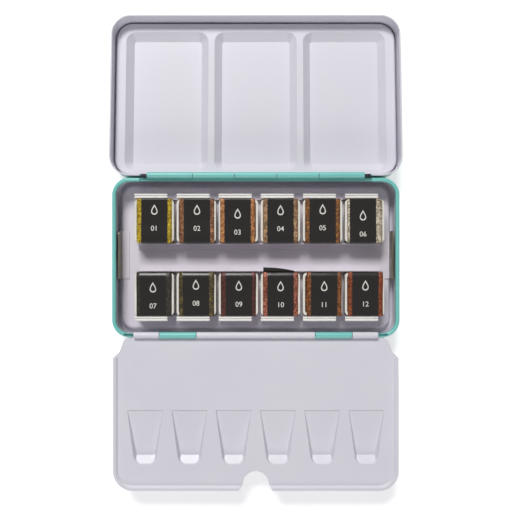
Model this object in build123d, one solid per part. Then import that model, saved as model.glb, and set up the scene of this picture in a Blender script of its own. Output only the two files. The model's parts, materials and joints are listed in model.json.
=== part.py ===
from build123d import *
import math
import os

# Pocket watercolour tin, shown open on a table: a pressed tinplate base, a hinged lid with three mixing
# wells, a fold-out palette flap with six small wells, and a lift-out tray that holds two rows of half pans.
# Millimetres. X runs along the hinges, +Y towards the lid, +Z up. The origin is the middle of the base's
# underside. The lid is drawn shut and then swung open; the flap is drawn open, as it stands.

# Sheet metal
sheet = 0.4                    # tinplate thickness
edge_radius = 1.6              # outside radius where a wall meets a bottom or top panel

# Base
base_half_length = 58.4        # outside, along X
base_half_depth = 32.4         # outside, along Y
base_height = 14.0             # table to the top of the rolled rim
base_corner = 7.0              # plan radius of the corners
curl_diameter = 1.7            # rolled rim, turned inwards
curl_sweep = 300.0             # degrees of a full turn that the rolled rim goes round

# Lid
slip_gap = 0.5                 # lid skirt to base wall, at the two ends
front_gap = 0.55               # lid skirt to base wall, in front, where the flap's hinge stands
back_gap = 0.45                # lid skirt to base wall, at the back
lid_depth = 9.7                # skirt edge to the outside of the top panel
skirt_overlap = 0.7            # how far the shut lid reaches below the base's rim
hem_width = 0.65               # turned edge of the skirt, across
hem_height = 0.9
table_gap = 0.03               # open lid's far edge to the table

# Pressed palette inside the lid
palette_recess = 5.8           # skirt edge to the palette's flange
well_depth = 3.0
well_slope = 3.0               # width of a well's sloping side, seen from above
well_floor_length = 28.4       # along X
well_count = 3
divider_width = 2.6            # flat top between two wells
well_front_margin = 4.0        # flange in front of the wells
well_back_margin = 2.2         # flange between the wells and the hinge side
well_corner = 4.0              # plan radius of a well's corner, at its mouth
palette_fit = 0.55             # palette skirt to lid wall
palette_skirt_gap = 0.35       # palette skirt to the inside of the top panel
palette_edge = 1.0             # outside radius of the palette's turned-down edge

# Hinges
knuckle_radius = 1.3
pin_radius = 0.6
pin_clearance = 0.05           # radial, pin to knuckle bore
knuckle_gap = 0.2              # between neighbouring knuckles
swing_gap = 0.2                # moving knuckle to the sheet that is cut away for it
lid_pin_overhang = 2.6         # lid pin beyond the last knuckle
flap_pin_overhang = 0.3        # flap pin beyond the last knuckle
lid_knuckle_ends = [8.6, 25.6, 44.0]     # where the back hinge's knuckles change over, each side of the middle
flap_knuckle_ends = [24.0, 39.0, 49.4]   # the same for the flap's hinge in front
hinge_relief = 0.5             # rolled rim cut back beyond the end of the pin
flap_hinge_inset = 0.9         # flap hinge axis behind the base's front face

# Palette flap
flap_reach = 63.1              # hinge axis to the far edge
flap_half_length = 57.9
flap_neck_half_length = 54.2   # half length beside the hinge
flap_neck_depth = 5.8          # how far the narrow neck runs out from the base
flap_shoulder = 2.3            # slanting step from neck to full length
flap_corner = 8.0
flap_wall_gap = 0.15           # neck edge to the base's front face
border_rise = 0.8              # raised border above the flap's face
border_width = 1.9             # raised border, seen from above, with its slope
border_slope = 0.8
small_well_count = 6
small_well_pitch = 18.0
small_well_near = 30.7         # hinge axis to the shallow end
small_well_far = 52.5          # hinge axis to the deep end
small_well_mouth = 14.4        # length of the shallow end
small_well_toe = 8.6           # length of the deep end
small_well_step = 0.3          # depth at the shallow end
small_well_depth = 2.2         # depth at the deep end
small_well_run_out = 3.2       # deepest line to the far end of the well
small_well_draft = 24.0        # degrees that its sides lean
notch_radius = 5.3             # thumb notch in the far edge
notch_depth = 7.8
notch_flare = 1.6              # extra half width at the mouth

# Tray
tray_gap = 0.4                 # tray edge to the rolled rim, at the two ends
tray_hinge_gap = 0.2           # tray edge to the flap's knuckles
tray_height = 4.2              # table to the tray's top face
tray_foot_gap = 0.1            # turned-down edge to the base's floor
tray_edge = 1.4                # outside radius of the turned-down edge
tab_length = 19.8
tab_centre = 1.0               # along Y
tab_top = 11.6                 # height of the lifting tabs above the table
foot_width = 2.0               # rail foot that is welded to the tray

# Half pans
pan_pitch = 17.1
row_edge_margin = 6.4          # tray edge to the pans' outer rim, along Y
row_end_margin = 2.4           # lifting tab to the nearest a pan may stand, along X
pan_shift = 1.5                # the rows stand a little to the right of the middle
pan_length = 16.0              # along X, at the rim
pan_depth = 17.4               # along Y, at the rim
pan_height = 8.8
pan_draft = 4.0                # degrees that its sides lean
pan_wall = 0.9
pan_floor = 1.0
pan_corner = 1.6
paint_gap = 0.05               # cast paint to the pan's wall
paint_drop = 1.0               # paint below the pan's rim
paint_dish = 0.5               # how far the paint's middle has sunk
wrapper_width = 14.2           # paper band round each pan
wrapper_sheet = 0.2
wrapper_gap = 0.08             # band to pan
seat_gap = 0.12                # band to tray and to rails

# Spring fingers and rails
finger_width = 13.4
finger_fold = 1.9              # folded top, across
finger_top = 13.7              # height above the table
finger_groove = 0.5
inner_rail_top = 9.2

# Worked out from the sizes above
lid_pin_reach = lid_knuckle_ends[-1] + lid_pin_overhang
flap_pin_reach = flap_knuckle_ends[-1] + flap_pin_overhang
lid_inner_half_length = base_half_length + slip_gap
lid_outer_half_length = lid_inner_half_length + sheet
lid_inner_front = -(base_half_depth + front_gap)
lid_outer_front = lid_inner_front - sheet
lid_inner_back = base_half_depth + back_gap
lid_outer_back = lid_inner_back + sheet
lid_middle = (lid_outer_front + lid_outer_back) / 2
lid_skirt_z = base_height - skirt_overlap
lid_top_z = lid_skirt_z + lid_depth
lid_corner = base_corner + slip_gap + sheet
lid_axis_y = base_half_depth - sheet + knuckle_radius
lid_axis_z = base_height
flap_axis_y = -(base_half_depth - flap_hinge_inset)
flap_axis_z = base_height
flap_low_z = flap_axis_z - knuckle_radius
flap_face_z = flap_low_z + sheet
bore_radius = pin_radius + pin_clearance
cut_top_z = base_height - knuckle_radius - swing_gap
pan_base_z = tray_height + seat_gap + wrapper_sheet + wrapper_gap
pan_top_z = pan_base_z + pan_height
wrap_reach = wrapper_gap + wrapper_sheet
tray_half_length = base_half_length - curl_diameter - tray_gap
tray_half_depth = base_half_depth - flap_hinge_inset - knuckle_radius - tray_hinge_gap
tray_corner = base_corner - curl_diameter - tray_gap
pan_row_centre = tray_half_depth - row_edge_margin - pan_depth / 2
rail_y = pan_row_centre + pan_depth / 2 + wrap_reach + seat_gap
inner_rail_y = pan_row_centre - pan_depth / 2 - wrap_reach - seat_gap
row_room = 2 * (tray_half_length - row_end_margin - pan_shift)
pan_columns = int((row_room + pan_pitch - pan_length) / pan_pitch)

# The open lid leans down until its far edge meets the table
far_y = lid_outer_front + edge_radius - lid_axis_y
far_z = lid_top_z - edge_radius - lid_axis_z
lid_lean = math.degrees(
    math.asin((lid_axis_z - edge_radius - table_gap) / math.hypot(far_y, far_z)) - math.atan2(far_z, -far_y)
)
lid_swing = 180 + lid_lean


def rounded_slab(half_x, low_y, high_y, low_z, high_z, corner):
    """A flat slab with rounded corners in plan."""
    middle = (low_y + high_y) / 2
    plan = Pos(0, middle, low_z) * RectangleRounded(2 * half_x, high_y - low_y, corner)
    return extrude(plan, high_z - low_z)


def block(low_x, high_x, low_y, high_y, low_z, high_z):
    """A plain block between two corners."""
    centre = Pos((low_x + high_x) / 2, (low_y + high_y) / 2, (low_z + high_z) / 2)
    return centre * Box(high_x - low_x, high_y - low_y, high_z - low_z)


def edges_at(shape, z):
    """The edges of a shape that lie flat at one height."""
    return shape.edges().filter_by(lambda e: abs(e.bounding_box().min.Z - z) + abs(e.bounding_box().max.Z - z) < 1e-4)


def pressed_box(half_x, low_y, high_y, low_z, high_z, corner, radius, closed_above):
    """A pressed sheet box, open on one side, with a rounded edge round its closed panel."""
    outer = rounded_slab(half_x, low_y, high_y, low_z, high_z, corner)
    panel = high_z if closed_above else low_z
    outer = fillet(edges_at(outer, panel), radius)
    floor = low_z - 1 if closed_above else low_z + sheet
    ceiling = high_z - sheet if closed_above else high_z + 1
    inner = rounded_slab(half_x - sheet, low_y + sheet, high_y - sheet, floor, ceiling, corner - sheet)
    inner = fillet(edges_at(inner, high_z - sheet if closed_above else low_z + sheet), radius - sheet)
    return outer - inner


def tube_along_x(low_x, high_x, y, z, radius):
    """A round bar along X between two ends."""
    return extrude(Plane(origin=(low_x, y, z), x_dir=(0, 1, 0), z_dir=(1, 0, 0)) * Circle(radius), high_x - low_x)


def knuckle_spans(ends, outer_first):
    """The X spans of one leaf's knuckles. The outermost pair belongs to the leaf that has outer_first."""
    spans = []
    stops = [0.0, *ends]
    for n in range(len(ends)):
        mine = (len(ends) - 1 - n) % 2 == 0
        if mine != outer_first:
            continue
        low = stops[n] + knuckle_gap / 2
        high = stops[n + 1] - (knuckle_gap / 2 if n < len(ends) - 1 else 0)
        spans += [(-high, high)] if n == 0 else [(-high, -low), (low, high)]
    return spans


def curl_section(turn, along, reach):
    """The rolled rim's section, square to the wall that faces the angle turn."""
    radius = curl_diameter / 2
    out = Vector(math.cos(math.radians(turn)), math.sin(math.radians(turn)), 0)
    run = Vector(out.Y, -out.X, 0)
    origin = out * reach - run * along + Vector(0, 0, base_height - radius)
    inner = radius - sheet
    stop = math.radians(curl_sweep)

    def at(r, angle):
        return (r * math.cos(angle), r * math.sin(angle))

    with BuildSketch(Plane(origin=origin, x_dir=out, z_dir=run)) as section:
        with BuildLine():
            ThreePointArc(at(radius, 0), at(radius, stop / 2), at(radius, stop))
            Line(at(radius, stop), at(inner, stop))
            ThreePointArc(at(inner, stop), at(inner, stop / 2), at(inner, 0))
            Line(at(inner, 0), at(radius, 0))
        make_face()
    return section.sketch


def rolled_rim():
    """The inward curl round the top of the base's wall: four straight sides and four turned corners."""
    radius = curl_diameter / 2
    pieces = []
    for turn in (0, 90, 180, 270):
        lengthwise = turn in (90, 270)
        along = (base_half_length if lengthwise else base_half_depth) - base_corner
        reach = (base_half_depth if lengthwise else base_half_length) - radius
        section = curl_section(turn, along, reach)
        pieces.append(extrude(section, 2 * along))
        side_x = 1 if turn in (0, 270) else -1
        side_y = 1 if turn in (0, 90) else -1
        corner = Axis((side_x * (base_half_length - base_corner), side_y * (base_half_depth - base_corner), 0), (0, 0, 1))
        pieces.append(revolve(section, axis=corner, revolution_arc=90))
    return pieces[0].fuse(*pieces[1:])


def base_shell():
    """The base: pressed box, rolled rim, and the fixed knuckles of both hinges."""
    wall_top = base_height - curl_diameter / 2
    shell = pressed_box(
        base_half_length, -base_half_depth, base_half_depth, 0, wall_top, base_corner, edge_radius, False
    )
    shell += rolled_rim()
    high = base_height + 1
    for side, ends in ((1, lid_knuckle_ends), (-1, flap_knuckle_ends)):
        reach = (lid_pin_reach if side > 0 else flap_pin_reach) + hinge_relief
        inner = side * (base_half_depth - curl_diameter - 0.1)
        outer = side * (base_half_depth + 1)
        shell -= block(-reach, reach, min(inner, outer), max(inner, outer), cut_top_z, high)
    for low, top in knuckle_spans(lid_knuckle_ends, False):
        shell += block(low, top, base_half_depth - sheet, base_half_depth, cut_top_z - 1, lid_axis_z)
        shell += tube_along_x(low, top, lid_axis_y, lid_axis_z, knuckle_radius)
    for low, top in knuckle_spans(flap_knuckle_ends, False):
        shell += block(low, top, -base_half_depth, sheet - base_half_depth, cut_top_z - 1, flap_axis_z)
        shell += tube_along_x(low, top, flap_axis_y, flap_axis_z, knuckle_radius)
    long_x = base_half_length - 5
    shell -= tube_along_x(-long_x, long_x, lid_axis_y, lid_axis_z, bore_radius)
    shell -= tube_along_x(-long_x, long_x, flap_axis_y, flap_axis_z, bore_radius)
    return shell


def hinge_pin(reach, y, z):
    """A plain wire pin with bevelled ends."""
    pin = tube_along_x(-reach, reach, y, z, pin_radius)
    return chamfer(pin.edges().filter_by(GeomType.CIRCLE), 0.2)


def swing_open(shape):
    """Turns a piece of the shut lid about its hinge to where the open lid lies."""
    return shape.rotate(Axis((0, lid_axis_y, lid_axis_z), (1, 0, 0)), -lid_swing)


def lid_shell():
    """The lid: pressed box, turned hem, and its knuckles on bent-out leaves."""
    shell = pressed_box(
        lid_outer_half_length, lid_outer_front, lid_outer_back, lid_skirt_z, lid_top_z,
        lid_corner, edge_radius, True,
    )
    out = hem_width - sheet
    hem = rounded_slab(
        lid_outer_half_length + out, lid_outer_front - out, lid_outer_back + out,
        lid_skirt_z, lid_skirt_z + hem_height, lid_corner + out,
    )
    hem = chamfer(edges_at(hem, lid_skirt_z), out * 0.7)
    hem = chamfer(edges_at(hem, lid_skirt_z + hem_height), out * 0.7)
    hem -= rounded_slab(
        lid_inner_half_length, lid_inner_front, lid_inner_back,
        lid_skirt_z - 1, lid_skirt_z + hem_height + 1, lid_corner - sheet,
    )
    shell += hem
    reach = lid_pin_reach + hinge_relief
    clear_z = lid_axis_z + knuckle_radius + swing_gap
    shell -= block(-reach, reach, lid_inner_back - 1, lid_outer_back + 2, lid_skirt_z - 1, clear_z)
    leaf_top = lid_axis_z + knuckle_radius
    for low, high in knuckle_spans(lid_knuckle_ends, True):
        shell += block(low, high, lid_inner_back, lid_outer_back, leaf_top - sheet, clear_z + 0.5)
        shell += block(low, high, lid_inner_back, lid_axis_y, leaf_top - sheet, leaf_top)
        shell += tube_along_x(low, high, lid_axis_y, lid_axis_z, knuckle_radius)
    shell -= tube_along_x(-reach, reach, lid_axis_y, lid_axis_z, bore_radius)
    return swing_open(shell)


def lid_palette():
    """The pressed palette in the lid, drawn as it sits in the shut lid, with its wells mouth down."""
    flange_z = lid_skirt_z + palette_recess
    half_x = lid_inner_half_length - palette_fit
    low_y = lid_inner_front + palette_fit
    high_y = lid_inner_back - palette_fit
    corner = lid_corner - sheet - palette_fit
    skirt_top = lid_top_z - sheet - palette_skirt_gap
    plate = rounded_slab(half_x, low_y, high_y, flange_z, skirt_top, corner)
    plate = fillet(edges_at(plate, flange_z), palette_edge)
    inside = rounded_slab(
        half_x - sheet, low_y + sheet, high_y - sheet, flange_z + sheet, skirt_top + 1, corner - sheet
    )
    inside = fillet(edges_at(inside, flange_z + sheet), palette_edge - sheet)
    plate -= inside
    mouth_length = well_floor_length + 2 * well_slope
    mouth_depth = high_y - low_y - well_front_margin - well_back_margin
    lean = math.degrees(math.atan2(well_slope, well_depth))
    middle = (low_y + well_front_margin + high_y - well_back_margin) / 2
    pitch = mouth_length + divider_width
    # a sheet's thickness square to a leaning side, measured level
    level = sheet / math.cos(math.radians(lean)) - sheet * math.tan(math.radians(lean))
    for n in range(well_count):
        x = (n - (well_count - 1) / 2) * pitch
        mouth = Pos(x, middle, flange_z) * RectangleRounded(mouth_length, mouth_depth, well_corner)
        skin = Pos(x, middle, flange_z + sheet) * RectangleRounded(
            mouth_length + 2 * level, mouth_depth + 2 * level, well_corner + level
        )
        plate += extrude(skin, well_depth, taper=lean)
        plate -= extrude(mouth, well_depth, taper=lean)
    return swing_open(plate)


def flap_plan():
    """The flap's outline in plan, drawn from the hinge outwards, with its thumb notch left out."""
    near = -base_half_depth - flap_wall_gap
    neck_end = near - flap_neck_depth
    full = neck_end - flap_shoulder
    far = flap_axis_y - flap_reach
    neck = flap_neck_half_length
    wide = flap_half_length
    points = [(neck - 2.2, near), (neck - 0.6, near - 1.2), (neck + 1.2, neck_end), (wide, full), (wide, far)]
    left = [(-x, y) for x, y in points]
    outline = Polygon(*reversed(points), *left, align=None)
    corners = outline.vertices().filter_by(lambda v: abs(v.Y - far) < 1e-6)
    return fillet(corners, flap_corner)


def border_plan(inset):
    """The full-length part of the flap's outline, moved in by inset and left open towards the hinge."""
    far = flap_axis_y - flap_reach + inset
    near = 0
    plan = RectangleRounded(2 * (flap_half_length - inset), near - far, flap_corner - inset)
    return Pos(0, (near + far) / 2) * plan


def thumb_notch():
    """The rounded cut in the flap's far edge."""
    far = flap_axis_y - flap_reach
    top = far + notch_depth
    centre = top - notch_radius
    with BuildSketch() as cut:
        with BuildLine():
            ThreePointArc((-notch_radius, centre), (0, top), (notch_radius, centre))
            Line((notch_radius, centre), (notch_radius + notch_flare, far))
            Line((notch_radius + notch_flare, far), (notch_radius + notch_flare, far - 2))
            Line((notch_radius + notch_flare, far - 2), (-notch_radius - notch_flare, far - 2))
            Line((-notch_radius - notch_flare, far - 2), (-notch_radius - notch_flare, far))
            Line((-notch_radius - notch_flare, far), (-notch_radius, centre))
        make_face()
    return Pos(0, 0, flap_low_z - 4) * extrude(cut.sketch, 8)


def small_well(x, skin):
    """One wedge well of the flap: its hollow, or with skin its outside, one sheet larger."""
    near = flap_axis_y - small_well_near
    far = flap_axis_y - small_well_far
    deep = far + small_well_run_out
    face = flap_face_z
    with BuildSketch(Plane(origin=(x - 10, 0, 0), x_dir=(0, 1, 0), z_dir=(1, 0, 0))) as side:
        with BuildLine():
            Polyline(
                (near + skin, face + (0 if skin else 1)),
                (near + skin, face - small_well_step - skin),
                (deep, face - small_well_depth - skin),
                (far - skin, face - 0.2),
                (far - skin, face + (0 if skin else 1)),
                close=True,
            )
        make_face()
    slope = extrude(side.sketch, 20)
    mouth, toe = small_well_mouth / 2 + skin, small_well_toe / 2 + skin
    plan = Polygon(
        (x + mouth, near + skin), (x - mouth, near + skin), (x - toe, far - skin), (x + toe, far - skin),
        align=None,
    )
    plan = fillet(plan.vertices().filter_by(lambda v: abs(v.Y - far + skin) < 1e-6), toe * 0.7)
    down = extrude(Pos(0, 0, face) * plan, -(small_well_depth + 1), taper=small_well_draft)
    if not skin:
        down += extrude(Pos(0, 0, face) * plan, 1)
    return slope & down


def palette_flap():
    """The fold-out flap: flat sheet, raised border on three sides, six wedge wells, thumb notch and knuckles."""
    low, face = flap_low_z, flap_face_z
    plan = flap_plan()
    flap = extrude(Pos(0, 0, low) * plan, sheet)
    full = -base_half_depth - flap_wall_gap - flap_neck_depth - flap_shoulder
    far = flap_axis_y - flap_reach
    zone = block(-flap_half_length - 1, flap_half_length + 1, far - 1, full, low - 1, face + 2)
    border = extrude(Pos(0, 0, low) * plan, sheet + border_rise) & zone
    lean = math.degrees(math.atan2(border_slope, border_rise))
    hollow = extrude(Pos(0, 0, face) * border_plan(border_width), border_rise + 0.001, taper=-lean)
    flap += border - hollow
    for n in range(small_well_count):
        x = (n - (small_well_count - 1) / 2) * small_well_pitch
        flap += small_well(x, sheet)
        flap -= small_well(x, 0)
    flap -= thumb_notch()
    for start, stop in knuckle_spans(flap_knuckle_ends, True):
        flap += block(start, stop, flap_axis_y - 3, flap_axis_y, low, face)
        flap += tube_along_x(start, stop, flap_axis_y, flap_axis_z, knuckle_radius)
    for start, stop in knuckle_spans(flap_knuckle_ends, False):
        front = flap_axis_y - knuckle_radius - swing_gap
        gap = knuckle_gap
        flap -= block(start - gap, stop + gap, front, flap_axis_y + 2, low - 1, face + 3)
    reach = flap_knuckle_ends[-1] + 1
    flap -= tube_along_x(-reach, reach, flap_axis_y, flap_axis_z, bore_radius)
    return flap


def tray_plate():
    """The lift-out tray: a flat panel with its edges turned down to the base's floor."""
    return pressed_box(
        tray_half_length, -tray_half_depth, tray_half_depth, sheet + tray_foot_gap, tray_height,
        tray_corner, tray_edge, True,
    )


def lifting_tab(side):
    """An upright bare-metal tab at one end of the tray, with a foot welded to the panel."""
    outer = side * tray_half_length
    inner = side * (tray_half_length - sheet)
    foot = side * (tray_half_length - tray_edge - foot_width)
    low_y, high_y = tab_centre - tab_length / 2, tab_centre + tab_length / 2
    tab = block(min(outer, inner), max(outer, inner), low_y, high_y, tray_height, tab_top)
    tab = fillet(tab.edges().filter_by(Axis.X).group_by(Axis.Z)[-1], 1.5)
    return tab + block(min(foot, outer), max(foot, outer), low_y, high_y, tray_height, tray_height + sheet)


def pan_centres():
    """Every pan's middle in plan, left to right, back row first."""
    middle = (pan_columns - 1) / 2
    xs = [(n - middle) * pan_pitch + pan_shift for n in range(pan_columns)]
    return [(x, side * pan_row_centre) for side in (1, -1) for x in xs]


def finger_rail(side):
    """The outer rail of one row: a welded foot and six spring fingers with folded tops."""
    middle = (pan_columns - 1) / 2
    low = -middle * pan_pitch + pan_shift - pan_length / 2
    high = middle * pan_pitch + pan_shift + pan_length / 2
    near = rail_y
    web_top = tray_height + 2.2
    fold = finger_fold / 2

    with BuildSketch(Plane(origin=(low, 0, 0), x_dir=(0, side, 0), z_dir=(side, 0, 0))) as profile:
        with BuildLine():
            Polyline(
                (near, tray_height), (near + foot_width + sheet, tray_height),
                (near + foot_width + sheet, tray_height + sheet), (near + sheet, tray_height + sheet),
                (near + sheet, web_top), (near, web_top), close=True,
            )
        make_face()
    rail = extrude(profile.sketch, side * (high - low))
    for n in range(pan_columns):
        start = low + n * pan_pitch
        plane = Plane(origin=(start, 0, 0), x_dir=(0, side, 0), z_dir=(side, 0, 0))
        top = finger_top
        with BuildSketch(plane) as finger:
            with BuildLine():
                a = (near, web_top - 0.2)
                b = (near, top - fold / 2)
                c = (near + fold / 2, top)
                d = (near + fold, top - finger_groove)
                e = (near + 1.5 * fold, top)
                f = (near + 2 * fold, top - fold / 2)
                g = (near + 2 * fold, top - 1.6)
                Line(a, b)
                RadiusArc(b, c, fold / 2)
                Line(c, d)
                Line(d, e)
                RadiusArc(e, f, fold / 2)
                Line(f, g)
                Line(g, (near + 2 * fold - sheet, top - 1.6))
                Line((near + 2 * fold - sheet, top - 1.6), (near + 2 * fold - sheet, top - 0.9))
                Line((near + 2 * fold - sheet, top - 0.9), (near + sheet, top - 0.9))
                Line((near + sheet, top - 0.9), (near + sheet, web_top - 0.2))
                Line((near + sheet, web_top - 0.2), a)
            make_face()
        rail += extrude(finger.sketch, side * finger_width)
    return rail


def inner_rail(side):
    """The plain inner rail of one row, with its foot in the brush channel."""
    middle = (pan_columns - 1) / 2
    low = -middle * pan_pitch + pan_shift - pan_length / 2
    high = middle * pan_pitch + pan_shift + pan_length / 2
    near, far = side * (inner_rail_y - sheet), side * inner_rail_y
    foot = side * (inner_rail_y - sheet - foot_width)
    wall = block(low, high, min(near, far), max(near, far), tray_height, inner_rail_top)
    wall = fillet(wall.edges().filter_by(Axis.Y).group_by(Axis.Z)[-1], 1.2)
    return wall + block(low, high, min(foot, far), max(foot, far), tray_height, tray_height + sheet)


def tapered_pot(length, depth, corner, low_z, high_z):
    """A block that is length by depth at its top and draws in towards its foot."""
    top = Pos(0, 0, high_z) * RectangleRounded(length, depth, corner)
    return extrude(top, -(high_z - low_z), taper=pan_draft)


def half_pan():
    """One plastic half pan, about its own middle."""
    pan = tapered_pot(pan_length, pan_depth, pan_corner, pan_base_z, pan_top_z)
    inside = tapered_pot(
        pan_length - 2 * pan_wall, pan_depth - 2 * pan_wall, pan_corner - pan_wall / 2,
        pan_base_z + pan_floor, pan_top_z,
    )
    pan -= inside
    return chamfer(edges_at(pan, pan_top_z), 0.15)


def paint_cake():
    """The cast paint in a pan, a little sunk in the middle where it has dried."""
    wall = pan_wall + paint_gap
    cake = tapered_pot(
        pan_length - 2 * wall, pan_depth - 2 * wall, pan_corner - pan_wall / 2,
        pan_base_z + pan_floor + paint_gap, pan_top_z,
    )
    top = pan_top_z - paint_drop
    cake &= Pos(0, 0, pan_base_z) * Box(pan_length, pan_depth, 2 * (top - pan_base_z))
    half = (pan_depth - 2 * wall) / 2 - 0.8
    ball = (half * half + paint_dish * paint_dish) / (2 * paint_dish)
    bowl = Pos(0, 0, top - paint_dish + ball) * Cylinder(ball, pan_length, rotation=(0, 90, 0))
    return cake - bowl


def wrapper():
    """The paper band that goes round one pan, over its top and under its foot."""
    slope = math.tan(math.radians(pan_draft))

    def ring(out):
        top, foot = pan_top_z + out, pan_base_z - out
        wide = pan_depth / 2 + out
        narrow = pan_depth / 2 - pan_height * slope + out
        return Polygon((wide, top), (-wide, top), (-narrow, foot), (narrow, foot), align=None)

    plane = Plane(origin=(-wrapper_width / 2, 0, 0), x_dir=(0, 1, 0), z_dir=(1, 0, 0))
    outer = fillet(ring(wrap_reach).vertices(), 0.45)
    inner = fillet(ring(wrapper_gap).vertices(), 0.25)
    return extrude(plane * (outer - inner), wrapper_width)


def build():
    """Every piece by its name."""
    pieces = {
        "base_shell": base_shell(),
        "lid_hinge_pin": hinge_pin(lid_pin_reach, lid_axis_y, lid_axis_z),
        "flap_hinge_pin": hinge_pin(flap_pin_reach, flap_axis_y, flap_axis_z),
        "lid_shell": lid_shell(),
        "lid_palette": lid_palette(),
        "palette_flap": palette_flap(),
        "tray_plate": tray_plate(),
        "lifting_tab_left": lifting_tab(-1),
        "lifting_tab_right": lifting_tab(1),
        "finger_rail_back": finger_rail(1),
        "finger_rail_front": finger_rail(-1),
        "inner_rail_back": inner_rail(1),
        "inner_rail_front": inner_rail(-1),
    }
    pan, cake, band = half_pan(), paint_cake(), wrapper()
    for n, (x, y) in enumerate(pan_centres(), 1):
        pieces[f"half_pan_{n:02d}"] = Pos(x, y, 0) * pan
        pieces[f"paint_{n:02d}"] = Pos(x, y, 0) * cake
        pieces[f"wrapper_{n:02d}"] = Pos(x, y, 0) * band
    return pieces


os.makedirs("parts", exist_ok=True)
print("lid opens", round(lid_swing, 3), "degrees; hinge axes", lid_axis_y, flap_axis_y, base_height)
for name, solid in build().items():
    export_step(solid, f"parts/{name}.step")
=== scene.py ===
import json
import math
import random

import bmesh
import bpy
from mathutils import Matrix, Vector, noise

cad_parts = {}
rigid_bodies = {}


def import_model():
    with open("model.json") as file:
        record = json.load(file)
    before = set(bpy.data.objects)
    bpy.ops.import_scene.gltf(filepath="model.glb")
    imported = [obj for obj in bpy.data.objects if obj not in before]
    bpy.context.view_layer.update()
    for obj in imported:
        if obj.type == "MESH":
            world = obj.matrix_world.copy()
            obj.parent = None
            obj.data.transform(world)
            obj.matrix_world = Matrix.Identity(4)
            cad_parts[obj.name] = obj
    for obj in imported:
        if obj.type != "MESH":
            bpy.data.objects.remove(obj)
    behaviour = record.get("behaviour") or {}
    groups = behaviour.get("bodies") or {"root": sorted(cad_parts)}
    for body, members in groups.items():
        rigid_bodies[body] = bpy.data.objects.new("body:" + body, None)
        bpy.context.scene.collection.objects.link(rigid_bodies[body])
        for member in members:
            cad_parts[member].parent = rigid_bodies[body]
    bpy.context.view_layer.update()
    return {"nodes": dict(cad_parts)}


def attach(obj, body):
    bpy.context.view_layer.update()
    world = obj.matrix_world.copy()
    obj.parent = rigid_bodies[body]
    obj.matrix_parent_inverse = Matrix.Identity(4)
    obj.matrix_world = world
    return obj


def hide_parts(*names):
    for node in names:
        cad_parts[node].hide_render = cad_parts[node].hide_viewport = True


for leftover in list(bpy.data.objects):
    bpy.data.objects.remove(leftover)

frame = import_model()
nodes = frame["nodes"]
print("frame loaded:", len(nodes), "nodes")

mm = 0.001


def linear(hexColour):
    values = [int(hexColour[i:i + 2], 16) / 255 for i in (1, 3, 5)]
    return (*[v / 12.92 if v <= 0.04045 else ((v + 0.055) / 1.055) ** 2.4 for v in values], 1.0)


def darker(hexColour, share):
    return "#" + "".join(f"{round(int(hexColour[i:i + 2], 16) * share):02x}" for i in (1, 3, 5))


# Adds a node: a socket given as an input is linked, anything else is its value, and stops fill a colour ramp
def addNode(tree, kind, inputs=None, stops=None, **settings):
    node = tree.nodes.new(kind)
    for key, value in settings.items():
        setattr(node, key, value)
    for key, value in (inputs or {}).items():
        if isinstance(value, bpy.types.NodeSocket):
            tree.links.new(value, node.inputs[key])
        else:
            node.inputs[key].default_value = value
    for place, (position, colour) in enumerate(stops or []):
        keys = node.color_ramp.elements
        key = keys[place] if place < 2 else keys.new(position)
        key.position = position
        key.color = linear(colour)
    return node


def newMaterial(name, **values):
    material = bpy.data.materials.new(name)
    material.use_nodes = True
    tree = material.node_tree
    shader = tree.nodes["Principled BSDF"]
    for key, value in values.items():
        shader.inputs[key].default_value = value
    place = addNode(tree, "ShaderNodeTexCoord").outputs["Object"]
    return material, tree, shader, place


def wire(shader, outputs):
    for key, output in outputs.items():
        shader.id_data.links.new(output, shader.inputs[key])


# Stoved enamel on tinplate, sprayed and baked: a thin clear gloss, edges rounded by the coat's thickness,
# faint orange peel, and a tone and shine that drift slowly over the sheet. Sizes in mm.
enamel = {
    "drift": 22.0, "tones": (0.32, 0.68), "shineFrom": (0.35, 0.65), "shine": (-0.04, 0.05),
    "peel": 1.5, "peelDepth": 0.006, "coat": 0.12, "coatRoughness": 0.2,
}


def makeEnamel(name, colours, roughness, edge):
    material, tree, shader, place = newMaterial(name, **{
        "Coat Weight": enamel["coat"], "Coat Roughness": enamel["coatRoughness"],
    })
    drift = addNode(tree, "ShaderNodeTexNoise", {
        "Vector": place, "Scale": 1 / (enamel["drift"] * mm), "Detail": 3.0,
    }).outputs["Fac"]
    tone = addNode(tree, "ShaderNodeValToRGB", {"Fac": drift}, list(zip(enamel["tones"], colours)))
    gloss = addNode(tree, "ShaderNodeMapRange", {
        "Value": drift, "From Min": enamel["shineFrom"][0], "From Max": enamel["shineFrom"][1],
        "To Min": roughness + enamel["shine"][0], "To Max": roughness + enamel["shine"][1],
    })
    peel = addNode(tree, "ShaderNodeTexNoise", {
        "Vector": place, "Scale": 1 / (enamel["peel"] * mm), "Detail": 1.0,
    })
    softened = addNode(tree, "ShaderNodeBevel", {"Radius": edge * mm}, samples=6)
    skin = addNode(tree, "ShaderNodeBump", {
        "Height": peel.outputs["Fac"], "Distance": enamel["peelDepth"] * mm, "Strength": 0.5,
        "Normal": softened.outputs["Normal"],
    })
    wire(shader, {
        "Base Color": tone.outputs["Color"], "Roughness": gloss.outputs["Result"],
        "Normal": skin.outputs["Normal"], "Coat Normal": skin.outputs["Normal"],
    })
    return material


# Bare metal as it left the mill or the drawing die: lines along the work and dull blotches of handling.
# The lines are drawn coarser than life so that they show. Sizes in mm.
bareMetal = {
    "line": 0.45, "stretch": 7.0, "lineDepth": 0.008, "shineFrom": (0.3, 0.7), "shine": (-0.08, 0.12),
    "blotch": 5.0, "tones": (0.35, 0.65),
}


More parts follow.
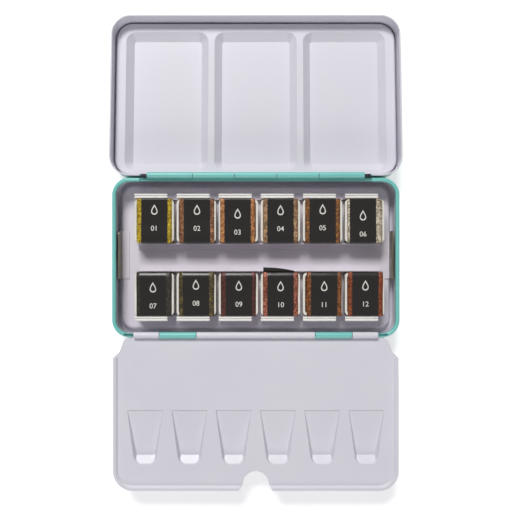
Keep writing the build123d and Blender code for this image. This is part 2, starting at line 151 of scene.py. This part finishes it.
def makeBareMetal(name, colours, roughness, along):
    material, tree, shader, place = newMaterial(name, Metallic=1.0)
    stretched = addNode(tree, "ShaderNodeMapping", {
        "Vector": place, "Scale": [1.0 if axis == along else bareMetal["stretch"] for axis in "XYZ"],
    })
    lines = addNode(tree, "ShaderNodeTexNoise", {
        "Vector": stretched.outputs["Vector"], "Scale": 1 / (bareMetal["line"] * mm * bareMetal["stretch"]),
        "Detail": 4.0,
    }).outputs["Fac"]
    blotch = addNode(tree, "ShaderNodeTexNoise", {
        "Vector": place, "Scale": 1 / (bareMetal["blotch"] * mm), "Detail": 3.0,
    })
    tone = addNode(tree, "ShaderNodeValToRGB", {"Fac": blotch.outputs["Fac"]},
                   list(zip(bareMetal["tones"], colours)))
    gloss = addNode(tree, "ShaderNodeMapRange", {
        "Value": lines, "From Min": bareMetal["shineFrom"][0], "From Max": bareMetal["shineFrom"][1],
        "To Min": roughness + bareMetal["shine"][0], "To Max": roughness + bareMetal["shine"][1],
    })
    skin = addNode(tree, "ShaderNodeBump", {
        "Height": lines, "Distance": bareMetal["lineDepth"] * mm, "Strength": 0.6,
    })
    wire(shader, {
        "Base Color": tone.outputs["Color"], "Roughness": gloss.outputs["Result"],
        "Normal": skin.outputs["Normal"],
    })
    return material


# Moulded polystyrene: cream white, satin from the tool, with a little light carried through the wall.
# Sizes in mm.
polystyrene = {
    "colours": ("#ebe6d9", "#f4f0e6"), "tones": (0.3, 0.7), "drift": 6.0, "roughness": (0.30, 0.44),
    "grain": 0.35, "grainDepth": 0.006, "carried": 0.12, "scatter": 1.5, "scatterByColour": (1.0, 0.8, 0.6),
}


def makePanPlastic():
    material, tree, shader, place = newMaterial("polystyrene_moulded", **{
        "Subsurface Weight": polystyrene["carried"], "Subsurface Scale": polystyrene["scatter"] * mm,
        "Subsurface Radius": polystyrene["scatterByColour"], "Specular IOR Level": 0.45,
    })
    drift = addNode(tree, "ShaderNodeTexNoise", {
        "Vector": place, "Scale": 1 / (polystyrene["drift"] * mm), "Detail": 3.0,
    }).outputs["Fac"]
    tone = addNode(tree, "ShaderNodeValToRGB", {"Fac": drift},
                   list(zip(polystyrene["tones"], polystyrene["colours"])))
    gloss = addNode(tree, "ShaderNodeMapRange", {
        "Value": drift, "To Min": polystyrene["roughness"][0], "To Max": polystyrene["roughness"][1],
    })
    grain = addNode(tree, "ShaderNodeTexNoise", {"Vector": place, "Scale": 1 / (polystyrene["grain"] * mm)})
    skin = addNode(tree, "ShaderNodeBump", {
        "Height": grain.outputs["Fac"], "Distance": polystyrene["grainDepth"] * mm, "Strength": 0.5,
    })
    wire(shader, {
        "Base Color": tone.outputs["Color"], "Roughness": gloss.outputs["Result"],
        "Normal": skin.outputs["Normal"],
    })
    return material


# Printed paper: warm near-black ink with a satin face, over fibres drawn coarser than life so that they show
labelPaper = {
    "colours": ("#090706", "#19130f"), "tones": (0.30, 0.72), "cloud": 3.5, "roughness": (0.16, 0.30),
    "fibre": 0.16, "fibreDepth": 0.010, "fibreStretch": (1.0, 0.55, 1.0),
}


def makeLabelPaper():
    material, tree, shader, place = newMaterial("paper_printed_black", **{"Specular IOR Level": 0.30})
    laid = addNode(tree, "ShaderNodeMapping", {"Vector": place, "Scale": labelPaper["fibreStretch"]})
    fibre = addNode(tree, "ShaderNodeTexNoise", {
        "Vector": laid.outputs["Vector"], "Scale": 1 / (labelPaper["fibre"] * mm), "Detail": 5.0,
    }).outputs["Fac"]
    cloud = addNode(tree, "ShaderNodeTexNoise", {
        "Vector": place, "Scale": 1 / (labelPaper["cloud"] * mm), "Detail": 3.0,
    })
    tone = addNode(tree, "ShaderNodeValToRGB", {"Fac": fibre},
                   list(zip(labelPaper["tones"], labelPaper["colours"])))
    gloss = addNode(tree, "ShaderNodeMapRange", {
        "Value": cloud.outputs["Fac"],
        "To Min": labelPaper["roughness"][0], "To Max": labelPaper["roughness"][1],
    })
    skin = addNode(tree, "ShaderNodeBump", {
        "Height": fibre, "Distance": labelPaper["fibreDepth"] * mm, "Strength": 0.5,
    })
    wire(shader, {
        "Base Color": tone.outputs["Color"], "Roughness": gloss.outputs["Result"],
        "Normal": skin.outputs["Normal"],
    })
    return material


# White screen ink: matt, thin, and slightly broken where it met the fibres
labelInk = {"colours": ("#a8a198", "#ece8e0"), "tones": (0.28, 0.46), "roughness": 0.5}


def makeLabelInk():
    material, tree, shader, place = newMaterial("screen_ink_white", Roughness=labelInk["roughness"])
    speck = addNode(tree, "ShaderNodeTexNoise", {"Vector": place, "Scale": 1 / (labelPaper["fibre"] * mm)})
    tone = addNode(tree, "ShaderNodeValToRGB", {"Fac": speck.outputs["Fac"]},
                   list(zip(labelInk["tones"], labelInk["colours"])))
    wire(shader, {"Base Color": tone.outputs["Color"]})
    return material


# Pigment with mica: a matt ground crowded with tiny flakes, each lying at its own tilt, so that it glitters.
# Flakes are drawn at about three times their real size, or none would show. Sizes in mm.
mica = {
    "flake": 0.26, "cloud": 1.1, "tilt": 0.035, "gap": 0.55, "roughness": (0.30, 0.55),
    "gapAt": 0.06, "groundAt": 0.26, "flakeAt": 0.50, "dullShare": 0.35, "dullest": 0.05, "brightest": 0.35,
}
# Colour of the ground, colour of the flakes, and how far they shine like metal
pigments = {
    "01": ("#9a7e08", "#e0c437", 0.38),
    "02": ("#6a3f22", "#b8825a", 0.30),
    "03": ("#97592b", "#dca46c", 0.36),
    "04": ("#7f5b3d", "#cba67c", 0.30),
    "05": ("#5a3314", "#b87c3a", 0.30),
    "06": ("#a08e78", "#f0e6d0", 0.42),
    "07": ("#17130c", "#4a3f2b", 0.20),
    "08": ("#352b13", "#7c6a34", 0.24),
    "09": ("#35130d", "#743525", 0.24),
    "10": ("#7d3b29", "#cc8469", 0.42),
    "11": ("#653310", "#b5713e", 0.30),
    "12": ("#6b2c0e", "#aa5a2c", 0.32),
}


def makePigment(key):
    ground, flake, shine = pigments[key]
    material, tree, shader, place = newMaterial(f"mica_watercolour_{key}", **{"Specular IOR Level": 0.4})
    cells = addNode(tree, "ShaderNodeTexVoronoi", {"Vector": place, "Scale": 1 / (mica["flake"] * mm)})
    chance = addNode(tree, "ShaderNodeSeparateColor", {"Color": cells.outputs["Color"]})
    cloud = addNode(tree, "ShaderNodeTexNoise", {
        "Vector": place, "Scale": 1 / (mica["cloud"] * mm), "Detail": 4.0,
    })
    lit = addNode(tree, "ShaderNodeMath", {
        0: chance.outputs["Red"], 1: cloud.outputs["Fac"],
    }, operation="MULTIPLY")
    # Where few flakes catch the light the ground is painted darker: painted shade in the gaps between the
    # flakes
    tone = addNode(tree, "ShaderNodeValToRGB", {"Fac": lit.outputs[0]}, [
        (mica["gapAt"], darker(ground, mica["gap"])), (mica["flakeAt"], flake), (mica["groundAt"], ground),
    ])
    shiny = addNode(tree, "ShaderNodeMapRange", {
        "Value": chance.outputs["Green"], "From Min": mica["dullShare"],
        "To Min": mica["dullest"], "To Max": shine + mica["brightest"],
    })
    gloss = addNode(tree, "ShaderNodeMapRange", {
        "Value": chance.outputs["Blue"], "To Min": mica["roughness"][0], "To Max": mica["roughness"][1],
    })
    skin = addNode(tree, "ShaderNodeBump", {
        "Height": chance.outputs["Green"], "Distance": mica["tilt"] * mm, "Strength": 0.55,
    })
    wire(shader, {
        "Base Color": tone.outputs["Color"], "Metallic": shiny.outputs["Result"],
        "Roughness": gloss.outputs["Result"], "Normal": skin.outputs["Normal"],
    })
    return material


tealEnamel = makeEnamel("enamel_teal_gloss", ("#74c8c0", "#79ccc4"), roughness=0.34, edge=0.2)
whiteEnamel = makeEnamel("enamel_white_gloss", ("#dddbe3", "#e0dee5"), roughness=0.46, edge=0.25)
pressedEnamel = makeEnamel("enamel_white_pressed", ("#dddbe3", "#e0dee5"), roughness=0.46, edge=0.4)
# The tray's enamel is the white enamel painted a little darker and pinker: painted shade of the tin's deep
# inside, also used on the tabs' feet and the rails
shadedTrayEnamel = makeEnamel("enamel_white_tray_painted_shade", ("#dcd5de", "#e0dae2"), roughness=0.46, edge=0.25)
# The rails' folded edges: lighter and creamier than the white enamel, partly a painted highlight where they
# stand up in the light
litCreamEnamel = makeEnamel("enamel_cream_painted_highlight", ("#e9e6e0", "#f0ede8"), roughness=0.34, edge=0.15)
bareTinplate = makeBareMetal("tinplate_bare", ("#5f5b4b", "#78735f"), roughness=0.36, along="Y")
pinWire = makeBareMetal("steel_wire_blued", ("#232325", "#343334"), roughness=0.36, along="X")
panPlastic = makePanPlastic()
blackPaper = makeLabelPaper()
whiteInk = makeLabelInk()
pigmentOf = {key: makePigment(key) for key in pigments}
print("materials made:", len(bpy.data.materials))


# A CAD node's materials, and which of them each face has
def giveMaterials(node, materials, choose=None):
    mesh = nodes[node].data
    mesh.materials.clear()
    for material in materials:
        mesh.materials.append(material)
    for face in mesh.polygons:
        face.material_index = choose(face.center / mm, face.normal) if choose else 0


# How far a point lies outside a rounded rectangle, and how much a face looks out of it
def outsideBy(x, y, plan):
    dx = abs(x) - (plan["halfX"] - plan["corner"])
    dy = abs(y) - (plan["halfY"] - plan["corner"])
    return math.hypot(max(dx, 0), max(dy, 0)) + min(max(dx, dy), 0) - plan["corner"]


def looksOut(x, y, normal, plan):
    dx = max(abs(x) - (plan["halfX"] - plan["corner"]), 0) * math.copysign(1, x)
    dy = max(abs(y) - (plan["halfY"] - plan["corner"]), 0) * math.copysign(1, y)
    length = math.hypot(dx, dy)
    return (normal.x * dx + normal.y * dy) / length if length else 0.0


# The tin is teal outside and on its rolled rim, white inside. Sizes in mm, as in the CAD.
tin = {
    "halfX": 58.4, "halfY": 32.4, "corner": 7.0, "wall": 0.4, "rimLow": 12.28, "floor": 0.2,
    "mostOutward": 0.3, "mostDownward": -0.1,
}


def tinSide(centre, normal):
    inside = outsideBy(centre.x, centre.y, tin) < -tin["wall"] / 2
    outward = looksOut(centre.x, centre.y, normal, tin) >= tin["mostOutward"]
    if outward or normal.z <= tin["mostDownward"]:
        return 0
    return 1 if inside and tin["floor"] < centre.z < tin["rimLow"] else 0


# The lid is read as if shut: white inside and on its hem, teal outside and on its knuckles
lid = {
    "halfX": 59.3, "halfY": 33.3, "corner": 7.9, "middleY": -0.05, "hemLow": 13.25, "hemHigh": 14.26,
    "axisY": 33.3, "axisZ": 14.0, "swing": 184.401, "leafY": 31.95, "leafZ": 15.55, "leafX": 47.2,
    "hemReach": 0.5, "wall": 0.4, "mostOutward": 0.3, "mostUpward": 0.1,
}
shutLid = Matrix.Rotation(math.radians(lid["swing"]), 3, "X")
lidAxis = Vector((0, lid["axisY"], lid["axisZ"]))


def lidSide(centre, normal):
    spot = shutLid @ (centre - lidAxis) + lidAxis
    turned = shutLid @ normal
    y = spot.y - lid["middleY"]
    if spot.y > lid["leafY"] and spot.z < lid["leafZ"] and abs(spot.x) < lid["leafX"]:
        return 0
    if lid["hemLow"] < spot.z < lid["hemHigh"] and outsideBy(spot.x, y, lid) > -lid["hemReach"]:
        return 1
    inside = outsideBy(spot.x, y, lid) < -lid["wall"] / 2
    outward = looksOut(spot.x, y, turned, lid) >= lid["mostOutward"]
    return 1 if inside and not outward and turned.z < lid["mostUpward"] else 0


# A lifting tab stands bare above a foot that was enamelled with the tray, and that foot takes the tray's
# painted shade. The finger rails are painted lighter and creamier where their folded edges stand above the
# pans, partly a painted highlight, and take the tray's painted shade below them
tray = {"footTop": 4.65, "foldLow": 11.5}


def tabSide(centre, normal):
    return 1 if centre.z < tray["footTop"] else 0


def railLitTopShadedFoot(centre, normal):
    return 1 if centre.z < tray["foldLow"] else 0


giveMaterials("base_shell", [tealEnamel, whiteEnamel], tinSide)
giveMaterials("lid_shell", [tealEnamel, whiteEnamel], lidSide)
giveMaterials("lid_palette", [whiteEnamel])
giveMaterials("palette_flap", [pressedEnamel])
giveMaterials("tray_plate", [shadedTrayEnamel])
for end in ("left", "right"):
    giveMaterials(f"lifting_tab_{end}", [bareTinplate, shadedTrayEnamel], tabSide)
for row in ("back", "front"):
    giveMaterials(f"finger_rail_{row}", [litCreamEnamel, shadedTrayEnamel], railLitTopShadedFoot)
    giveMaterials(f"inner_rail_{row}", [shadedTrayEnamel])
for hinge in ("lid", "flap"):
    giveMaterials(f"{hinge}_hinge_pin", [pinWire])
for key in pigments:
    giveMaterials(f"half_pan_{key}", [panPlastic])
    giveMaterials(f"paint_{key}", [pigmentOf[key]])
print("CAD nodes finished")


# Two rows of pans, numbered from the back left
rows = {"pitch": 17.1, "shift": 1.5, "rowY": 14.9, "columns": 6}


# A pan's middle, and the side its row is on: 1 at the back, -1 at the front
def panPlace(key):
    row, column = divmod(int(key) - 1, rows["columns"])
    side = 1 - 2 * row
    x = (column - (rows["columns"] - 1) / 2) * rows["pitch"] + rows["shift"]
    return x, rows["rowY"] * side, side


# Paper band glued round each pan: black print between two brushed strips of the paint itself.
# It dips over the pan's mouth and swells before it bends down at the end that faces the other row.
# slide is how far a band sits off its pan's middle, printSlip how far its black print sits off the band's.
paperBand = {
    "halfTop": 8.98, "halfFoot": 8.365, "top": 13.68, "foot": 4.32, "bend": 0.45, "lean": 4,
    "sheet": 0.18, "halfLength": 7.1, "halfBlack": 5.35,
    "step": 1.0, "topSteps": 24, "footSteps": 4, "bendSteps": 5,
    "dip": (0.04, 0.26), "dipSeed": 17, "ripple": 0.02, "rippleLength": 2.9, "rippleShift": 3.1,
    "swell": {1: 0.15, -1: 0.56}, "swellFrom": -0.1, "swellTo": 0.70, "swollenBend": {1: 82, -1: 62},
    "slide": {"01": 0.1, "02": 0.2, "03": -0.3, "08": 0.2, "11": 0.6, "12": 0.2},
    "printSlip": {"06": -0.75, "07": -0.45, "08": -0.3, "09": 0.2, "02": 0.1},
}


# Height of the band's face above its ends, y running from the middle towards the end that swells
def bandHeight(key, side, y):
    low, high = paperBand["dip"]
    dip = low + (high - low) * random.Random(int(key) * paperBand["dipSeed"]).random()
    share = y / paperBand["halfTop"]
    start, peak = paperBand["swellFrom"], paperBand["swellTo"]
    rise = min(1.0, max(0.0, (share - start) / (peak - start)))
    fall = max(0.0, (share - peak) / (1 - peak))
    swell = paperBand["swell"][side] * (rise * rise * (3 - 2 * rise) - fall * fall)
    return swell - dip * max(0.0, 1 - share ** 2) * (1 - rise)


def evenly(start, stop, count):
    return [start + (stop - start) * n / count for n in range(count)]


def bandBend(y, z, start, stop):
    r, count = paperBand["bend"], paperBand["bendSteps"]
    angles = [math.radians(start + (stop - start) * n / count) for n in range(count + 1)]
    return [(y + r * math.cos(angle), z + r * math.sin(angle)) for angle in angles]


# The band from its swollen end over the face, down, and back under the pan, its ends leaning a little
def bandOutline(key, side):
    r, top, foot, lean = paperBand["bend"], paperBand["top"], paperBand["foot"], paperBand["lean"]
    a, b = paperBand["halfTop"] - r, paperBand["halfFoot"] - r
    swollen = paperBand["swollenBend"][side]
    face = [(y, top + bandHeight(key, side, y)) for y in evenly(a, -a, paperBand["topSteps"])[1:]]
    under = [(y, foot) for y in evenly(-b, b, paperBand["footSteps"])[1:]]
    return (bandBend(a, top - r, lean, swollen) + face + bandBend(-a, top - r, 90, 180 - lean)
            + bandBend(-b, foot + r, 180 + lean, 270) + under + bandBend(b, foot + r, 270, 360 - lean))


# A sheet through a grid of points, with its thickness below; a ring closes on itself. Points in mm.
def makeSheet(name, grid, thick, ring, toneOf, materials):
    form = bmesh.new()
    layers = []
    for depth in (0.0, thick):
        layer = []
        for line in grid:
            row = []
            for n, spot in enumerate(line):
                before = line[n - 1] if n or ring else spot
                after = line[(n + 1) % len(line)] if n < len(line) - 1 or ring else spot
                out = (after - before).cross(Vector((1, 0, 0))).normalized()
                row.append(form.verts.new((spot - out * depth) * mm))
            layer.append(row)
        layers.append(layer)
    outer, inner = layers
    length = len(grid[0])
    links = length if ring else length - 1
    for j in range(len(grid) - 1):
        for n in range(links):
            m = (n + 1) % length
            for layer in (outer, inner):
                face = form.faces.new((layer[j][n], layer[j][m], layer[j + 1][m], layer[j + 1][n]))
                face.material_index = toneOf(j)
        if not ring:
            for n in (0, length - 1):
                face = form.faces.new((outer[j][n], outer[j + 1][n], inner[j + 1][n], inner[j][n]))
                face.material_index = toneOf(j)
    for j in (0, len(grid) - 1):
        for n in range(links):
            m = (n + 1) % length
            face = form.faces.new((outer[j][n], outer[j][m], inner[j][m], inner[j][n]))
            face.material_index = toneOf(min(j, len(grid) - 2))
    bmesh.ops.recalc_face_normals(form, faces=form.faces)
    mesh = bpy.data.meshes.new(name)
    form.to_mesh(mesh)
    form.free()
    for face in mesh.polygons:
        face.use_smooth = True
    for material in materials:
        mesh.materials.append(material)
    piece = bpy.data.objects.new(name, mesh)
    bpy.context.scene.collection.objects.link(piece)
    return piece


def stations(start, stop):
    return evenly(start, stop, max(1, round((stop - start) / paperBand["step"])))


def makePaperBand(key):
    cx, cy, side = panPlace(key)
    cx += paperBand["slide"].get(key, 0)
    outline = bandOutline(key, side)
    half, slip = paperBand["halfLength"], paperBand["printSlip"].get(key, 0)
    left, right = slip - paperBand["halfBlack"], slip + paperBand["halfBlack"]
    xs = stations(-half, left) + stations(left, right) + stations(right, half) + [half]
    drawn = Vector((0, 0, paperBand["rippleShift"] * int(key)))
    grid = []
    for x in xs:
        line = []
        for y, z in outline:
            wave = noise.noise(Vector((x, y, 0)) / paperBand["rippleLength"] + drawn) * paperBand["ripple"]
            line.append(Vector((cx + x, cy - side * (y + wave), z + wave)))
        grid.append(line if side < 0 else line[::-1])
    middles = [(a + b) / 2 for a, b in zip(xs, xs[1:])]
    piece = makeSheet(f"paper_band_{key}", grid, paperBand["sheet"], True,
                      lambda j: 0 if left < middles[j] < right else 1, [blackPaper, pigmentOf[key]])
    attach(piece, f"pan_{key}")
    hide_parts(f"wrapper_{key}")


# The glued end of band 10 has come loose and stands out past the pan, more at its left
looseEnd = {
    "key": "10", "left": -7.0, "right": 5.6, "reachLeft": 1.9, "reachRight": 0.5, "hollow": 2.2,
    "tuck": 0.12, "root": 12.9, "curl": 0.5, "turn": 0.62, "flatter": 0.4, "steps": 8,
}


def makeLooseEnd():
    cx, cy, side = panPlace(looseEnd["key"])
    left, right = looseEnd["left"], looseEnd["right"]
    grid = []
    for x in stations(left, right) + [right]:
        share = (x - left) / (right - left)
        less = (looseEnd["reachRight"] - looseEnd["reachLeft"]) * share ** looseEnd["hollow"]
        reach = looseEnd["reachLeft"] + less
        curl = looseEnd["curl"] * (1 - looseEnd["flatter"] * share)
        line = []
        for n in range(looseEnd["steps"] + 1):
            t = n / looseEnd["steps"]
            y = paperBand["halfTop"] - looseEnd["tuck"] + (reach + looseEnd["tuck"]) * t
            z = looseEnd["root"] + curl * math.sin(math.pi * looseEnd["turn"] * t)
            line.append(Vector((cx + x, cy - side * y, z)))
        grid.append(line[::-1])
    piece = makeSheet("paper_loose_end", grid, paperBand["sheet"], False, lambda j: 0, [blackPaper])
    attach(piece, f"pan_{looseEnd['key']}")


# White print on each band: a water drop in outline above a plain running number, set as one block.
# slide is how far it sits along its band from the middle.
labelPrint = {
    "figureSize": 2.9, "figureY": -3.85, "bolder": 0.015, "steps": 4, "thick": 0.012,
    "dropY": 3.85, "dropHeight": 4.2, "dropWidth": 2.9, "bulge": 0.62, "point": 1.3,
    "dropSteps": 40, "hollow": 0.68, "hollowLow": 0.5,
    "slide": {"01": 0.7, "02": 0.65, "03": -0.9, "04": 0.5, "05": 0.85, "06": -1.65,
              "07": -1.05, "08": 0.05, "09": -0.35, "10": -0.55, "11": -0.5, "12": -0.25},
}


def dropPoints(scale):
    points = []
    for n in range(labelPrint["dropSteps"]):
        turn = 2 * math.pi * n / labelPrint["dropSteps"]
        wide = labelPrint["dropWidth"] * labelPrint["bulge"] * math.sin(turn)
        x = wide * abs(math.sin(turn / 2)) ** labelPrint["point"]
        y = labelPrint["dropHeight"] / 2 * math.cos(turn)
        points.append((x * scale, (y + labelPrint["hollowLow"]) * scale - labelPrint["hollowLow"]))
    return points


def addFigures(form, text):
    figures = bpy.data.curves.new("figures", "FONT")
    figures.body = text
    figures.size = labelPrint["figureSize"] * mm
    figures.align_x = "CENTER"
    figures.align_y = "CENTER"
    figures.offset = labelPrint["bolder"] * mm
    figures.resolution_u = labelPrint["steps"]
    figures.extrude = labelPrint["thick"] * mm / 2
    holder = bpy.data.objects.new("figures", figures)
    bpy.context.scene.collection.objects.link(holder)
    bpy.context.view_layer.update()
    flat = bpy.data.meshes.new_from_object(holder.evaluated_get(bpy.context.evaluated_depsgraph_get()))
    bpy.data.objects.remove(holder)
    form.from_mesh(flat)
    bpy.data.meshes.remove(flat)
    for vert in form.verts:
        vert.co.y += labelPrint["figureY"] * mm


def addDrop(form):
    rings = []
    for scale in (1.0, labelPrint["hollow"]):
        for z in (-labelPrint["thick"] / 2, labelPrint["thick"] / 2):
            points = [Vector((x, y + labelPrint["dropY"], z)) for x, y in dropPoints(scale)]
            rings.append([form.verts.new(point * mm) for point in points])
    lowOut, highOut, lowIn, highIn = rings
    for n in range(len(lowOut)):
        m = (n + 1) % len(lowOut)
        for a, b in ((highOut, highIn), (highIn, lowIn), (lowIn, lowOut), (lowOut, highOut)):
            form.faces.new((a[n], a[m], b[m], b[n]))


def makeLabelPrint(key):
    cx, cy, side = panPlace(key)
    cx += paperBand["slide"].get(key, 0) + paperBand["printSlip"].get(key, 0)
    slide = labelPrint["slide"][key]
    form = bmesh.new()
    addFigures(form, key)
    addDrop(form)
    bmesh.ops.recalc_face_normals(form, faces=form.faces)
    for vert in form.verts:
        y = vert.co.y / mm + slide
        rise = bandHeight(key, side, -side * y) + paperBand["ripple"] + labelPrint["thick"]
        vert.co += Vector((cx, cy + slide, paperBand["top"] + rise)) * mm
    mesh = bpy.data.meshes.new(f"label_print_{key}")
    form.to_mesh(mesh)
    form.free()
    mesh.materials.append(whiteInk)
    piece = bpy.data.objects.new(f"label_print_{key}", mesh)
    bpy.context.scene.collection.objects.link(piece)
    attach(piece, f"pan_{key}")


for key in pigments:
    makePaperBand(key)
    makeLabelPrint(key)
makeLooseEnd()
print("paper bands and print made")


# 1 where the camera, a reflection or a clear material looks at the background, 0 where it only lights
def seenDirectly(tree):
    rays = addNode(tree, "ShaderNodeLightPath").outputs
    seen = rays["Is Camera Ray"]
    for key in ("Is Glossy Ray", "Is Transmission Ray"):
        seen = addNode(tree, "ShaderNodeMath", {0: seen, 1: rays[key]}, operation="MAXIMUM").outputs[0]
    return seen


# White paper backdrop on the table: matt, lifted to white where the camera or a reflection sees it, with
# the tin's soft shadow kept. Sizes of the table and the studio are in metres.
table = {"width": 3.0, "colour": "#f4f4f4", "lift": 0.55}


def makeTable():
    half = table["width"] / 2
    mesh = bpy.data.meshes.new("table_top")
    corners = [(-half, -half, 0), (half, -half, 0), (half, half, 0), (-half, half, 0)]
    mesh.from_pydata(corners, [], [(0, 1, 2, 3)])
    material, tree, shader, _ = newMaterial("paper_backdrop_white", **{
        "Base Color": linear(table["colour"]), "Roughness": 0.9, "Specular IOR Level": 0.1,
        "Emission Color": (1, 1, 1, 1),
    })
    lift = addNode(tree, "ShaderNodeMath", {0: seenDirectly(tree), 1: table["lift"]}, operation="MULTIPLY")
    wire(shader, {"Emission Strength": lift.outputs[0]})
    mesh.materials.append(material)
    top = bpy.data.objects.new("table_top", mesh)
    bpy.context.scene.collection.objects.link(top)


# A softbox behind the tin and above it, a weak one low in front, and a white room. Tilt is from overhead.
studio = {
    "room": 0.16, "roomColour": "#f6f5ff",
    "behind": {"tilt": 40.0, "side": -0.16, "away": 3.0, "size": (1.1, 0.8), "power": 69.0},
    "front": {"tilt": -66.0, "side": 0.0, "away": 3.0, "size": (1.6, 0.8), "power": 28.0},
}


def makeSoftbox(name):
    box = studio[name]
    lamp = bpy.data.lights.new(f"softbox_{name}", "AREA")
    lamp.shape = "RECTANGLE"
    lamp.size, lamp.size_y = box["size"]
    lamp.energy = box["power"]
    holder = bpy.data.objects.new(f"softbox_{name}", lamp)
    tilt = math.radians(box["tilt"])
    holder.location = Vector((box["side"], math.sin(tilt), math.cos(tilt))) * box["away"]
    holder.rotation_euler = (-holder.location).to_track_quat("-Z", "Y").to_euler()
    bpy.context.scene.collection.objects.link(holder)


def makeRoom():
    world = bpy.data.worlds.new("white_room")
    world.use_nodes = True
    bpy.context.scene.world = world
    tree = world.node_tree
    tree.nodes.clear()
    room = addNode(tree, "ShaderNodeBackground", {
        "Color": linear(studio["roomColour"]), "Strength": studio["room"],
    })
    backdrop = addNode(tree, "ShaderNodeBackground", {"Color": (1, 1, 1, 1), "Strength": 1.0})
    mixed = addNode(tree, "ShaderNodeMixShader", {
        0: seenDirectly(tree), 1: room.outputs[0], 2: backdrop.outputs[0],
    })
    addNode(tree, "ShaderNodeOutputWorld", {"Surface": mixed.outputs[0]})


# The camera looks straight down; its place and lens are in mm, its clipping in metres
photoCamera = {"place": (0.10, 0.59, 290.0), "lens": 47.9, "sensor": 36.0, "clip": (0.005, 10.0)}


def makeCamera():
    camera = bpy.data.cameras.new("photo_camera")
    camera.lens = photoCamera["lens"]
    camera.sensor_width = photoCamera["sensor"]
    camera.sensor_fit = "HORIZONTAL"
    camera.clip_start, camera.clip_end = photoCamera["clip"]
    holder = bpy.data.objects.new("photo_camera", camera)
    holder.location = Vector(photoCamera["place"]) * mm
    bpy.context.scene.collection.objects.link(holder)
    bpy.context.scene.camera = holder


makeTable()
makeSoftbox("behind")
makeSoftbox("front")
makeRoom()
makeCamera()
bpy.context.scene.view_settings.view_transform = "Standard"
print("table, lamps, room and camera set")
